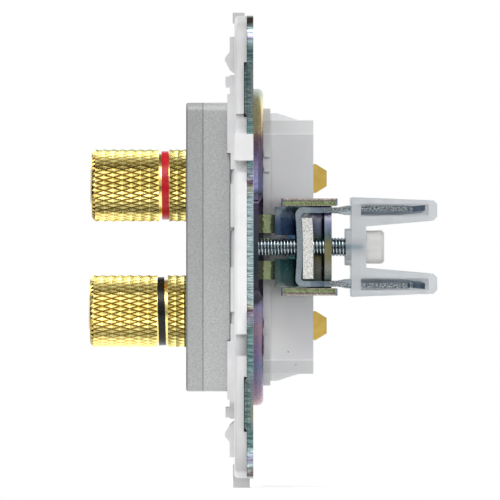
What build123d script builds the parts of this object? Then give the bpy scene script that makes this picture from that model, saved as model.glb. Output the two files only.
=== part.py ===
from build123d import *
import os
from math import cos, pi, sin, sqrt

os.makedirs("parts", exist_ok=True)

# Loudspeaker outlet for a round flush box. The wall is at y = 0, the room lies towards -y, +z is up.

# Support frame of sheet steel
steel_size = 71.3
steel_corner = 4.5
steel_sheet = 1.0
dish_radius = 24.6
dish_depth = 1.54
dish_shoulder = 0.9
waist_height = 20.1
waist_depth = 1.2
joggle_inner = 20.9
joggle_outer = 27.5
joggle_width = 3.9
joggle_rise = 0.42
joggle_slope = 0.9
box_screw_setback = 5.65
box_slot_width = 3.8
box_slot_travel = 4.6
side_slot_travel = 0.8
opening_corner = 2.0

# White plastic frame in front of the steel
white_side_setback = 0.35
white_end_setback = 0.05
white_corner = 5.0
white_thickness = 1.9
white_edge_round = 0.6
rim_outer = 48.0
rim_inner = 42.0
rim_height = 0.62
lip_outer = 47.2
lip_height = 0.5
lip_reach = 9.1
clip_bottom = 13.3
clip_top = 17.4
clip_overlap = 0.55
clip_arm = 2.0
driver_hole = 6.2
screw_window = 9.0

rim_windows = ((-10.9, 1.8), (-0.25, 5.7), (10.9, 2.2))
edge_reliefs = ((19.0, 3.0), (12.3, 1.7), (-15.1, 3.3))
relief_depth = 0.5
relief_border = 0.2
hook_x = 15.0
hook_width = 7.0
hook_stem = 0.75
hook_reach = 1.55
hook_low = 27.2
hook_high = 32.5
hook_catch_high = 30.2
hook_catch_low = 29.2
hook_toe = 0.5
ledge_low = 22.4
ledge_high = 26.6
ledge_reach = 1.4
ledge_lug = 1.4
ledge_step = 1.15
tab_top_width = 9.0
tab_top_setback = 0.35
tab_top_thickness = 1.85
tab_top_rise = 0.8
tab_bottom_foot = 0.5
tab_bottom_thickness = 2.15
tab_bottom_rise = 1.75
tab_bottom_slot = 5.0

# Front plate and its base
cover_size = 44.6
cover_corner = 1.4
cover_edge_round = 0.35
plate_thickness = 2.6
skirt_depth = 4.24
skirt_wall = 1.6
floor_thickness = 2.18
hub_width = 28.0
hub_height = 36.0
hub_wall = 1.5
hub_past_flange = 1.1
peg_spread = 35.0
peg_radius = 1.2
peg_length = 1.6

# Rear housing
flange_size = 43.0
flange_inset = 0.35
flange_thickness = 1.11
housing_width = 31.2
housing_depth = 6.65
housing_chamfer = 2.15
housing_wall = 1.45
housing_end_wall = 1.5
shoulder_width = 20.0
shoulder_rise = 1.1
shoulder_flat = 1.0
shoulder_length = 4.45

flange_blocks = ((-11.8, 1.4), (-15.2, 3.0), (14.4, 1.0), (12.0, 0.8))
flange_block_rise = 0.35

# Binding posts
post_spacing = 19.56
post_middle = -0.2
thread_radius = 3.5
banana_radius = 2.05
banana_depth = 13.0
wire_hole_radius = 1.6
wire_hole_setback = 2.2
stud_flange_radius = 4.2
stud_flange_thickness = 0.8
shank_radius = 3.0
recess_radius = 6.15
recess_depth = 1.28
collar_radius = 4.4
collar_thickness = 0.6
sleeve_radius = 3.8
washer_radius = 5.2
washer_thickness = 0.8
nut_flats = 8.0
nut_thickness = 2.4
shank_past_nut = 0.8

# Knurled knobs, from the rear to the front
knob_radius = 5.615
knurl_depth = 0.35
knurl_starts = 40
rear_knurl_length = 3.75
rear_knurl_rows = 3
groove_length = 1.63
groove_radius = 4.98
front_knurl_length = 9.91
front_knurl_rows = 7
knob_rim_length = 0.55
knob_rim_taper = 33.0
knob_face_wall = 1.2
knob_rest_gap = 0.18
knob_slack = {"red": 0.0, "black": 0.25}
knob_clamp_gap = 0.2
ring_width = 1.1
ring_radius = 5.32
ring_setback = {"red": 0.08, "black": 0.42}
insert_radius = 2.8
insert_bore_radius = 2.3
insert_length = 1.4
insert_proud = 0.2

# Solder tabs
tab_sheet = 0.8
tab_ring_radius = 4.9
tab_width = 4.5
tab_side = 6.0
tab_past_housing = 2.1
tab_tip_setback = 1.7
tab_tip_width = 2.4
tab_height = {"red": 10.64, "black": -12.2}

# Claw units, given for the side towards +x
claw_screw_x = 24.0
claw_screw_radius = 1.45
claw_screw_tip = 17.0
screw_head_radius = 2.75
screw_head_height = 1.9
screw_head_round = 0.5
screw_tip_chamfer = 0.4
screw_drive_width = 0.8
screw_drive_depth = 1.2
pocket_depth = 0.8
pocket_height = 13.2
pocket_inner_x = 18.0
pocket_outer_x = 27.0
pocket_wall = 0.7
pocket_run_out = 4.0
cam_radius = 3.15
cam_from_screw = 4.0
bracket_sheet = 1.1
bracket_inner_x = 16.3
foot_inner = 2.15
foot_outer = 5.0
saddle_half = 6.2
saddle_slot = 1.85
saddle_slot_end = 2.3
web_half = 5.0
web_rear = 12.1
web_outer_x = 26.2
side_inner = 6.4
side_outer_x = 26.5
side_front = 4.3
side_rear = 13.0
claw_sheet = 0.85
claw_half = 6.12
claw_front = 6.5
claw_bow = 0.25
claw_bend = 1.2
claw_inside = 0.5
claw_web_inner_x = 18.2
claw_web_outer_x = 26.8
claw_web_depth = 2.3
claw_slot_inner_x = 21.1
claw_slot_outer_x = 25.8
arm_inner_x = 19.6
arm_outer_x = 24.6
claw_tip = 26.5
claw_twist = 6.0
claw_twist_start = 13.1
claw_twist_end = 14.4
tooth_reach = 1.0
tooth_length = 1.9
notch_depth = 0.9
notch_length = 0.8
nut_plate_thickness = 1.6
nut_plate_half = 4.7
nut_plate_inner = 2.1
nut_plate_outer = 3.2
nut_plate_gap = 0.05

# Translucent guards over the claws
guard_plate_front = 15.15
guard_plate_rear = 16.6
guard_core_rear = 17.4
guard_half = 7.7
guard_end_half = 7.2
guard_end = 28.35
guard_inner_x = 18.3
guard_outer_x = 29.0
guard_back_wall = 0.9
guard_strap = 0.65
guard_channel_outer = 6.7
guard_channel_inner = 4.75
guard_channel_end = 27.0
guard_leg_inner = 3.2
guard_leg_end_inner = 4.1
guard_end_corner = 0.6
guard_channel_taper = 0.12
hub_flange_radius = 2.85
hub_flange_length = 0.85
hub_radius = 2.55
hub_rear = 20.2
hub_round = 0.4
hub_bore_depth = 3.3

# Fits
running_gap = 0.05
loose_gap = 0.15
seat_gap = 0.02
hub_gap = 0.4
mount_gap = 0.5

# Sizes and depths that follow from the ones above
box_screw_circle = steel_size - 2 * box_screw_setback
white_size = steel_size - 2 * white_side_setback
white_height = steel_size - 2 * white_end_setback
steel_front = -steel_sheet
white_front = steel_front - white_thickness
rim_front = white_front - rim_height
skirt_rear = rim_front - seat_gap
plate_rear = skirt_rear - skirt_depth
plate_front = plate_rear - plate_thickness
floor_rear = plate_rear + floor_thickness
recess_floor = plate_front + recess_depth
collar_front = recess_floor - collar_thickness
stud_flange_front = collar_front - stud_flange_thickness
washer_rear = floor_rear + washer_thickness
tab_rear = washer_rear + tab_sheet
nut_rear = tab_rear + nut_thickness
shank_end = nut_rear + shank_past_nut
flange_front = dish_depth
flange_rear = flange_front + flange_thickness
housing_rear = flange_rear + housing_depth
housing_height = hub_height + 2 * (loose_gap + housing_end_wall)
flange_reach = dish_radius - flange_inset - flange_block_rise
flange_corner = (flange_size / sqrt(2) - flange_reach) / (sqrt(2) - 1)
knob_length = rear_knurl_length + groove_length + front_knurl_length + knob_rim_length
knob_rear = recess_floor - knob_rest_gap
knob_front = knob_rear - knob_length
stud_front = knob_front + knob_face_wall + knob_clamp_gap
pocket_floor_front = pocket_depth - steel_sheet
cam_x = claw_screw_x - cam_from_screw
saddle_rear = claw_front - running_gap
cam_y = saddle_rear - cam_radius
foot_outer_x = cam_x + cam_radius
nut_plate_front = claw_front + claw_bow + claw_sheet + nut_plate_gap
side_outer = side_inner + bracket_sheet
hub_opening_width = hub_width + 2 * hub_gap
hub_opening_height = hub_height + 2 * hub_gap


def facing(depth):
    """Plane across the wall axis at a depth, drawn x to the right and z up, its normal to the room."""
    return Plane.XZ.offset(-depth)


def post_height(colour):
    """Height of a post's axis."""
    if colour == "red":
        return post_middle + post_spacing / 2
    return post_middle - post_spacing / 2


# Steel frame: a plate with a drawn dish, joggled edges and a pocket for each claw unit
with BuildPart() as steel_frame:
    with BuildSketch(facing(0)):
        RectangleRounded(steel_size, steel_size, steel_corner)
        for side in (1, -1):
            with Locations((side * steel_size / 2, 0)):
                Rectangle(2 * waist_depth, waist_height, mode=Mode.SUBTRACT)
            with Locations((side * steel_size / 2, (clip_bottom + clip_top) / 2)):
                Rectangle(2 * clip_arm, clip_top - clip_bottom, mode=Mode.SUBTRACT)
    extrude(amount=steel_sheet)
    with BuildSketch(facing(0)):
        Circle(dish_radius)
    extrude(amount=-dish_depth)
    fillet(steel_frame.edges().group_by(Axis.Y)[-1], dish_shoulder)
    with BuildSketch(facing(dish_depth - steel_sheet)):
        Circle(dish_radius - steel_sheet)
    extrude(amount=dish_depth, mode=Mode.SUBTRACT)
    for side in (1, -1):
        with BuildSketch(Plane.YZ.offset(side * pocket_inner_x)):
            with BuildLine():
                Polyline(
                    (pocket_depth, -pocket_height / 2),
                    (pocket_depth, pocket_height / 2),
                    (2 * dish_depth, pocket_height / 2 + pocket_run_out),
                    (2 * dish_depth, -pocket_height / 2 - pocket_run_out),
                    close=True,
                )
            make_face()
        extrude(amount=side * (dish_radius - pocket_inner_x), mode=Mode.SUBTRACT)
        pocket_middle_x = side * (pocket_inner_x + pocket_outer_x) / 2
        with BuildSketch(facing(pocket_depth)):
            with Locations((pocket_middle_x, 0)):
                RectangleRounded(
                    pocket_outer_x - pocket_inner_x + 2 * pocket_wall,
                    pocket_height + 2 * pocket_wall,
                    pocket_wall,
                )
        extrude(amount=pocket_depth + steel_sheet)
        with BuildSketch(facing(pocket_floor_front)):
            with Locations((pocket_middle_x, 0)):
                Rectangle(pocket_outer_x - pocket_inner_x, pocket_height)
        extrude(amount=pocket_depth + steel_sheet, mode=Mode.SUBTRACT)
        with BuildSketch(facing(pocket_depth)):
            with Locations((side * claw_screw_x, 0)):
                Circle(claw_screw_radius + loose_gap)
            for end in (1, -1):
                with Locations(
                    (
                        side * (foot_outer_x - bracket_sheet / 2),
                        end * (foot_inner + foot_outer) / 2,
                    )
                ):
                    Rectangle(
                        bracket_sheet + 2 * seat_gap,
                        foot_outer - foot_inner + 2 * seat_gap,
                    )
        extrude(amount=2 * steel_sheet, mode=Mode.SUBTRACT)
        joggle_x = side * (steel_size / 2 - joggle_width)
        with BuildSketch(Plane.YZ.offset(joggle_x)):
            for end in (1, -1):
                with Locations((0, end * (joggle_inner + joggle_outer) / 2)):
                    Rectangle(3 * steel_sheet, joggle_outer - joggle_inner + 2 * joggle_slope)
        extrude(amount=side * 2 * joggle_width, mode=Mode.SUBTRACT)
        with BuildSketch(Plane.YZ.offset(joggle_x)):
            with BuildLine():
                Polyline(
                    (steel_front, joggle_inner - joggle_slope),
                    (steel_front - joggle_rise, joggle_inner),
                    (steel_front - joggle_rise, joggle_outer),
                    (steel_front, joggle_outer + joggle_slope),
                    (0, joggle_outer + joggle_slope),
                    (-joggle_rise, joggle_outer),
                    (-joggle_rise, joggle_inner),
                    (0, joggle_inner - joggle_slope),
                    close=True,
                )
            make_face()
            mirror(about=Plane.XZ)
        extrude(amount=side * joggle_width)
    with BuildSketch(facing(2 * dish_depth)):
        RectangleRounded(hub_opening_width, hub_opening_height, opening_corner)
        with Locations((0, box_screw_circle / 2), (0, -box_screw_circle / 2)):
            SlotCenterToCenter(box_slot_travel, box_slot_width)
        with Locations((box_screw_circle / 2, 0), (-box_screw_circle / 2, 0)):
            SlotCenterToCenter(side_slot_travel, box_slot_width)
    extrude(amount=3 * dish_depth, mode=Mode.SUBTRACT)
steel_frame.part.label = "steel_frame"
export_step(steel_frame.part, "parts/steel_frame.step")


# White frame: a flat frame with a raised rim for the cover, corner lips, clips, snap hooks and tabs
with BuildPart() as white_frame:
    with BuildSketch(facing(steel_front)):
        RectangleRounded(white_size, white_height, white_corner)
    extrude(amount=white_thickness)
    fillet(white_frame.edges().group_by(Axis.Y)[0], white_edge_round)
    with BuildSketch(facing(white_front)):
        Rectangle(rim_outer, rim_outer)
    extrude(amount=rim_height)
    with BuildSketch(facing(rim_front)):
        Rectangle(lip_outer, lip_outer)
        Rectangle(rim_outer, lip_outer - 2 * lip_reach, mode=Mode.SUBTRACT)
        Rectangle(lip_outer - 2 * lip_reach, rim_outer, mode=Mode.SUBTRACT)
    extrude(amount=lip_height)
    with BuildSketch(facing(steel_front)):
        RectangleRounded(rim_inner, rim_inner, opening_corner)
        with Locations((claw_screw_x, 0), (-claw_screw_x, 0)):
            Circle(driver_hole / 2)
        with Locations((0, box_screw_circle / 2), (0, -box_screw_circle / 2)):
            SlotCenterToCenter(box_slot_travel, screw_window)
        with Locations((box_screw_circle / 2, 0), (-box_screw_circle / 2, 0)):
            SlotCenterToCenter(side_slot_travel, box_slot_width + 2 * mount_gap)
    extrude(amount=2 * white_thickness, mode=Mode.SUBTRACT)
    with BuildSketch(facing(white_front)):
        for side in (1, -1):
            for height, width in rim_windows:
                with Locations((side * rim_outer / 2, height)):
                    Rectangle(rim_outer - rim_inner, width)
    extrude(amount=rim_height, mode=Mode.SUBTRACT)
    for side in (1, -1):
        with BuildSketch(Plane.YZ.offset(side * (steel_size / 2 - joggle_width - mount_gap))):
            for end in (1, -1):
                with Locations((steel_front, end * (joggle_inner + joggle_outer) / 2)):
                    Rectangle(
                        2 * (joggle_rise + seat_gap),
                        joggle_outer - joggle_inner + 2 * joggle_slope + 2 * seat_gap,
                    )
        extrude(amount=side * 2 * joggle_width, mode=Mode.SUBTRACT)
        clip_x = side * (steel_size / 2 - clip_arm + seat_gap)
        with BuildSketch(Plane.YZ.offset(clip_x)):
            with Locations((white_front / 2, (clip_bottom + clip_top) / 2)):
                Rectangle(-white_front, clip_top - clip_bottom - 2 * seat_gap)
        extrude(amount=side * (clip_arm + clip_overlap))
        with BuildSketch(Plane.YZ.offset(side * (white_size / 2 - relief_depth))):
            for height, length in edge_reliefs:
                with Locations(((steel_front + white_front) / 2, height)):
                    Rectangle(white_thickness - 2 * relief_border, length)
        extrude(amount=side * 2 * relief_depth, mode=Mode.SUBTRACT)
    for side in (1, -1):
        with BuildSketch(Plane.YZ.offset(side * hook_x - hook_width / 2)):
            with BuildLine():
                Polyline(
                    (white_front, hook_low),
                    (white_front, hook_high),
                    (white_front - hook_stem, hook_high),
                    (white_front - hook_stem, hook_catch_high),
                    (white_front - hook_reach, hook_catch_low),
                    (white_front - hook_stem, hook_low + hook_toe),
                    (white_front - hook_stem + hook_toe, hook_low),
                    close=True,
                )
            make_face()
            with Locations((white_front - hook_stem / 2, (ledge_low + ledge_high) / 2)):
                Rectangle(hook_stem, ledge_high - ledge_low)
            with Locations((white_front - ledge_reach / 2, (ledge_low + ledge_high) / 2 + ledge_step)):
                Rectangle(ledge_reach, ledge_lug)
            mirror(about=Plane.XZ)
        extrude(amount=hook_width)
    with BuildSketch(Plane.YZ.offset(-tab_top_width / 2)):
        with Locations((steel_front - tab_top_setback - tab_top_thickness / 2, white_height / 2)):
            Rectangle(tab_top_thickness, 2 * tab_top_rise)
        with Locations((steel_front - tab_bottom_thickness / 2, -white_height / 2)):
            Rectangle(tab_bottom_thickness, 2 * tab_bottom_rise)
        with Locations((steel_front, -(steel_size + white_height) / 4 - tab_bottom_rise / 2 - seat_gap)):
            Rectangle(2 * tab_bottom_foot, tab_bottom_rise - (steel_size - white_height) / 2)
    extrude(amount=tab_top_width)
    with BuildSketch(facing(0)):
        with Locations((0, -white_height / 2 - tab_bottom_rise / 2)):
            Rectangle(tab_bottom_slot, tab_bottom_rise)
    extrude(amount=white_thickness, mode=Mode.SUBTRACT)
white_frame.part.label = "white_frame"
export_step(white_frame.part, "parts/white_frame.step")

# Front plate: recesses for the knobs, holes for the bushings, and pegs behind
with BuildPart() as front_plate:
    with BuildSketch(facing(plate_rear)):
        RectangleRounded(cover_size, cover_size, cover_corner)
    extrude(amount=plate_thickness)
    fillet(front_plate.edges().group_by(Axis.Y)[0], cover_edge_round)
    with BuildSketch(facing(plate_rear)):
        with GridLocations(peg_spread, peg_spread, 2, 2):
            Circle(peg_radius)
    extrude(amount=-peg_length)
    for colour in ("red", "black"):
        with BuildSketch(facing(recess_floor)):
            with Locations((0, post_height(colour))):
                Circle(recess_radius)
        extrude(amount=2 * recess_depth, mode=Mode.SUBTRACT)
        with BuildSketch(facing(plate_rear)):
            with Locations((0, post_height(colour))):
                Circle(sleeve_radius + running_gap)
        extrude(amount=plate_thickness, mode=Mode.SUBTRACT)
front_plate.part.label = "front_plate"
export_step(front_plate.part, "parts/front_plate.step")

# Cover base: the skirt, the floor that the posts are bolted to, and the hub through the steel
with BuildPart() as cover_base:
    with BuildSketch(facing(skirt_rear)):
        RectangleRounded(cover_size, cover_size, cover_corner)
    extrude(amount=skirt_depth)
    with BuildSketch(facing(skirt_rear)):
        Rectangle(cover_size - 2 * skirt_wall, cover_size - 2 * skirt_wall)
    extrude(amount=skirt_depth - floor_thickness, mode=Mode.SUBTRACT)
    with BuildSketch(facing(skirt_rear)):
        Rectangle(cover_size, cover_size)
        cross_width = lip_outer - 2 * lip_reach - 2 * loose_gap
        Rectangle(cover_size, cross_width, mode=Mode.SUBTRACT)
        Rectangle(cross_width, cover_size, mode=Mode.SUBTRACT)
    extrude(amount=lip_height, mode=Mode.SUBTRACT)
    with BuildSketch(facing(flange_rear + hub_past_flange)):
        RectangleRounded(hub_width, hub_height, opening_corner)
        Rectangle(hub_width - 2 * hub_wall, hub_height - 2 * hub_wall, mode=Mode.SUBTRACT)
    extrude(amount=flange_rear + hub_past_flange - floor_rear)
    with BuildSketch(facing(floor_rear)):
        with GridLocations(peg_spread, peg_spread, 2, 2):
            Circle(peg_radius + seat_gap)
        with Locations((0, post_height("red")), (0, post_height("black"))):
            Circle(sleeve_radius + running_gap)
    extrude(amount=floor_thickness, mode=Mode.SUBTRACT)
cover_base.part.label = "cover_base"
export_step(cover_base.part, "parts/cover_base.step")

# Rear housing: a flange against the dish, a chamfered box, shoulders, and slots for the tabs
with BuildPart() as rear_housing:
    with BuildSketch(facing(flange_rear)):
        RectangleRounded(flange_size, flange_size, flange_corner)
    extrude(amount=flange_thickness)
    with BuildSketch(facing(housing_rear)) as box_outline:
        Rectangle(housing_width, housing_height)
        chamfer(box_outline.vertices(), housing_chamfer)
    extrude(amount=housing_depth)
    with BuildSketch(Plane.YZ.offset(-shoulder_width / 2)):
        with BuildLine():
            Polyline(
                (flange_rear, 0),
                (flange_rear, housing_height / 2 + shoulder_rise),
                (flange_rear + shoulder_flat, housing_height / 2 + shoulder_rise),
                (flange_rear + shoulder_length, housing_height / 2),
                (flange_rear + shoulder_length, 0),
                close=True,
            )
        make_face()
        mirror(about=Plane.XZ)
    extrude(amount=shoulder_width)
    with BuildSketch(facing(flange_front)):
        RectangleRounded(hub_width + 2 * loose_gap, hub_height + 2 * loose_gap, opening_corner)
    extrude(amount=-(flange_thickness + housing_depth - housing_wall), mode=Mode.SUBTRACT)
    with BuildSketch(facing(housing_rear)):
        for colour in ("red", "black"):
            with Locations((tab_side - tab_sheet / 2, tab_height[colour])):
                Rectangle(tab_sheet + 2 * loose_gap, tab_width + 2 * loose_gap)
    extrude(amount=2 * housing_wall, mode=Mode.SUBTRACT)
    with BuildSketch(facing(flange_rear - loose_gap)):
        block_size = flange_size + 2 * flange_block_rise
        for height, length in flange_blocks:
            with Locations((0, height)):
                Rectangle(block_size, length)
        RectangleRounded(block_size, block_size, flange_corner + flange_block_rise, mode=Mode.INTERSECT)
        Rectangle(housing_width, flange_size, mode=Mode.SUBTRACT)
    extrude(amount=flange_thickness - 2 * loose_gap)
rear_housing.part.label = "rear_housing"
export_step(rear_housing.part, "parts/rear_housing.step")


def knurled_barrel(depth, height, length, rows):
    """Solid with a diamond knurl, from its rear face at a depth towards the room, about a post's axis."""
    step = 2 * pi / knurl_starts

    def point(row, turn, radius):
        angle = step * turn
        return Vector(radius * cos(angle), depth - length * row / rows, height + radius * sin(angle))

    def valley(row, turn):
        return point(row, turn, knob_radius - knurl_depth)

    def peak(row, turn):
        return point(row, turn, knob_radius)

    facets = []
    for row in range(rows):
        for start in range(knurl_starts):
            left = start + (row % 2) / 2
            middle = left + 0.5
            right = left + 1
            far_left = left - 0.5
            lower_peak = peak(row, middle)
            upper_peak = peak(row + 1, left)
            facets.append((valley(row, left), lower_peak, valley(row + 1, middle)))
            facets.append((lower_peak, valley(row, right), valley(row + 1, middle)))
            facets.append((valley(row + 1, far_left), valley(row, left), upper_peak))
            facets.append((valley(row, left), valley(row + 1, middle), upper_peak))
    rings = []
    for row in (0, rows):
        shift = (row % 2) / 2
        ring = []
        for start in range(knurl_starts):
            ring.append(valley(row, start + shift))
            ring.append(peak(row, start + shift + 0.5))
        rings.append(ring)
    outlines = facets + rings
    faces = [Face(Wire.make_polygon(corners, close=True)) for corners in outlines]
    return Solid(Shell(faces))


# Binding posts: knob, colour ring, guard ring, stud, insulators, nut and tab, one set for each colour
for colour in ("red", "black"):
    post_z = post_height(colour)
    rear = knob_rear - knob_slack[colour]
    groove_rear = rear - rear_knurl_length
    groove_front = groove_rear - groove_length
    rim_rear = groove_front - front_knurl_length
    front = rear - knob_length

    with BuildPart() as knob:
        add(knurled_barrel(rear, post_z, rear_knurl_length, rear_knurl_rows))
        add(knurled_barrel(groove_front, post_z, front_knurl_length, front_knurl_rows))
        with BuildSketch(facing(groove_rear)):
            with Locations((0, post_z)):
                Circle(groove_radius)
        extrude(amount=groove_length)
        with BuildSketch(facing(rim_rear)):
            with Locations((0, post_z)):
                Circle(knob_radius - knurl_depth)
        extrude(amount=knob_rim_length, taper=knob_rim_taper)
        with BuildSketch(facing(rear)):
            with Locations((0, post_z)):
                Circle(collar_radius + loose_gap)
        extrude(amount=recess_floor - knob_rest_gap - stud_flange_front + knob_clamp_gap, mode=Mode.SUBTRACT)
        with BuildSketch(facing(rear)):
            with Locations((0, post_z)):
                Circle(thread_radius + running_gap)
        extrude(amount=knob_length - knob_face_wall, mode=Mode.SUBTRACT)
        with BuildSketch(facing(rear)):
            with Locations((0, post_z)):
                Circle(insert_radius + seat_gap)
        extrude(amount=knob_length, mode=Mode.SUBTRACT)
    knob.part.label = f"knob_{colour}"
    export_step(knob.part, f"parts/knob_{colour}.step")

    with BuildPart() as ring:
        with BuildSketch(facing(groove_rear - ring_setback[colour])):
            with Locations((0, post_z)):
                Circle(ring_radius)
                Circle(groove_radius + running_gap, mode=Mode.SUBTRACT)
        extrude(amount=ring_width)
    ring.part.label = f"ring_{colour}"
    export_step(ring.part, f"parts/ring_{colour}.step")

    with BuildPart() as insert:
        with BuildSketch(facing(front - insert_proud + insert_length)):
            with Locations((0, post_z)):
                Circle(insert_radius)
                Circle(insert_bore_radius, mode=Mode.SUBTRACT)
        extrude(amount=insert_length)
    insert.part.label = f"insert_{colour}"
    export_step(insert.part, f"parts/insert_{colour}.step")

    with BuildPart() as post_stud:
        with BuildSketch(facing(shank_end)):
            with Locations((0, post_z)):
                Circle(shank_radius)
        extrude(amount=shank_end - collar_front)
        with BuildSketch(facing(collar_front)):
            with Locations((0, post_z)):
                Circle(stud_flange_radius)
        extrude(amount=stud_flange_thickness)
        with BuildSketch(facing(stud_flange_front)):
            with Locations((0, post_z)):
                Circle(thread_radius)
        extrude(amount=stud_flange_front - stud_front)
        with BuildSketch(facing(stud_front)):
            with Locations((0, post_z)):
                Circle(banana_radius)
        extrude(amount=-banana_depth, mode=Mode.SUBTRACT)
        with BuildSketch(Plane.YZ.offset(-knob_radius)):
            with Locations((stud_flange_front - wire_hole_setback, post_z)):
                Circle(wire_hole_radius)
        extrude(amount=2 * knob_radius, mode=Mode.SUBTRACT)
    post_stud.part.label = f"post_stud_{colour}"
    export_step(post_stud.part, f"parts/post_stud_{colour}.step")

    with BuildPart() as bushing:
        with BuildSketch(facing(recess_floor)):
            with Locations((0, post_z)):
                Circle(collar_radius)
        extrude(amount=collar_thickness)
        with BuildSketch(facing(floor_rear)):
            with Locations((0, post_z)):
                Circle(sleeve_radius)
        extrude(amount=floor_rear - recess_floor)
        with BuildSketch(facing(floor_rear)):
            with Locations((0, post_z)):
                Circle(shank_radius + running_gap)
        extrude(amount=floor_rear - collar_front, mode=Mode.SUBTRACT)
    bushing.part.label = f"bushing_{colour}"
    export_step(bushing.part, f"parts/bushing_{colour}.step")

    with BuildPart() as washer:
        with BuildSketch(facing(washer_rear)):
            with Locations((0, post_z)):
                Circle(washer_radius)
                Circle(shank_radius + running_gap, mode=Mode.SUBTRACT)
        extrude(amount=washer_thickness)
    washer.part.label = f"washer_{colour}"
    export_step(washer.part, f"parts/washer_{colour}.step")

    tab_z = tab_height[colour]
    with BuildPart() as solder_tab:
        with BuildSketch(facing(tab_rear)):
            with Locations((0, post_z)):
                Circle(tab_ring_radius)
            with Locations((tab_side / 2, tab_z)):
                Rectangle(tab_side, tab_width)
            with Locations((0, post_z)):
                Circle(shank_radius + running_gap, mode=Mode.SUBTRACT)
            with Locations((-tab_side, tab_z)):
                Rectangle(tab_side, 3 * tab_width, mode=Mode.SUBTRACT)
        extrude(amount=tab_sheet)
        tab_end = housing_rear + tab_past_housing
        with BuildSketch(Plane.YZ.offset(tab_side - tab_sheet)):
            with BuildLine():
                Polyline(
                    (tab_rear, tab_z - tab_width / 2),
                    (tab_end - tab_tip_setback, tab_z - tab_width / 2),
                    (tab_end, tab_z - tab_tip_width / 2),
                    (tab_end, tab_z + tab_tip_width / 2),
                    (tab_end - tab_tip_setback, tab_z + tab_width / 2),
                    (tab_rear, tab_z + tab_width / 2),
                    close=True,
                )
            make_face()
        extrude(amount=tab_sheet)
    solder_tab.part.label = f"solder_tab_{colour}"
    export_step(solder_tab.part, f"parts/solder_tab_{colour}.step")

    with BuildPart() as nut:
        with BuildSketch(facing(nut_rear)):
            with Locations((0, post_z)):
                RegularPolygon(nut_flats / 2, 6, major_radius=False, rotation=30)
                Circle(shank_radius + running_gap, mode=Mode.SUBTRACT)
        extrude(amount=nut_thickness)
    nut.part.label = f"nut_{colour}"
    export_step(nut.part, f"parts/nut_{colour}.step")


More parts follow.
